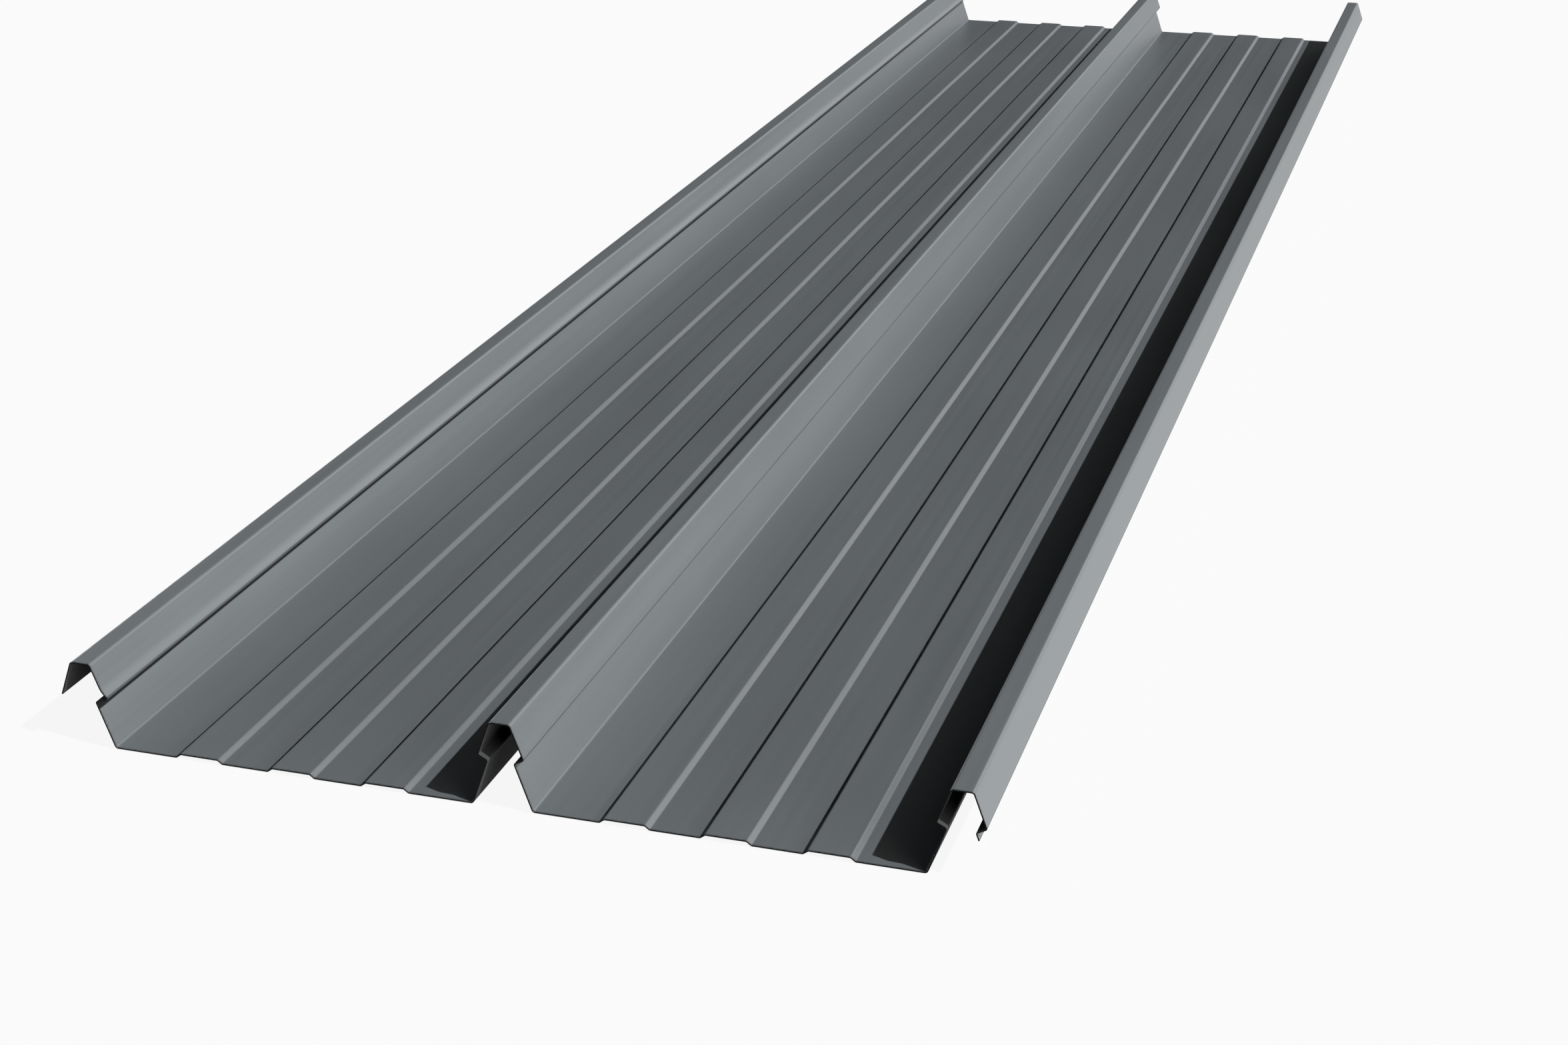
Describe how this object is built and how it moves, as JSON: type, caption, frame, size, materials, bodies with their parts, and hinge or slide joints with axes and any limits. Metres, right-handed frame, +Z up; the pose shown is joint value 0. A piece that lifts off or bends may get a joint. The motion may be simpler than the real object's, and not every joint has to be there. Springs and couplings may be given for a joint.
{
  "type": "concealed-fix metal roofing sheet",
  "caption": "Long roll-formed steel roofing sheet with fluted pans between tall shouldered ribs, painted slate grey, made to lap and snap over hidden clips.",
  "frame": {"origin": "on the floor under the middle of the sheet: below the top of the middle rib, half-way along its length", "axes": "+X across the sheet from the underlap rib to the overlap rib, +Y along the ribs, +Z up out of the pans"},
  "size_m": [0.4278, 1.7, 0.041],
  "materials": {
    "slate_paint": "satin coil-coated paint, slate grey"
  },
  "bodies": {
    "root": {"roof_sheet": "slate_paint"}
  },
  "joints": []
}
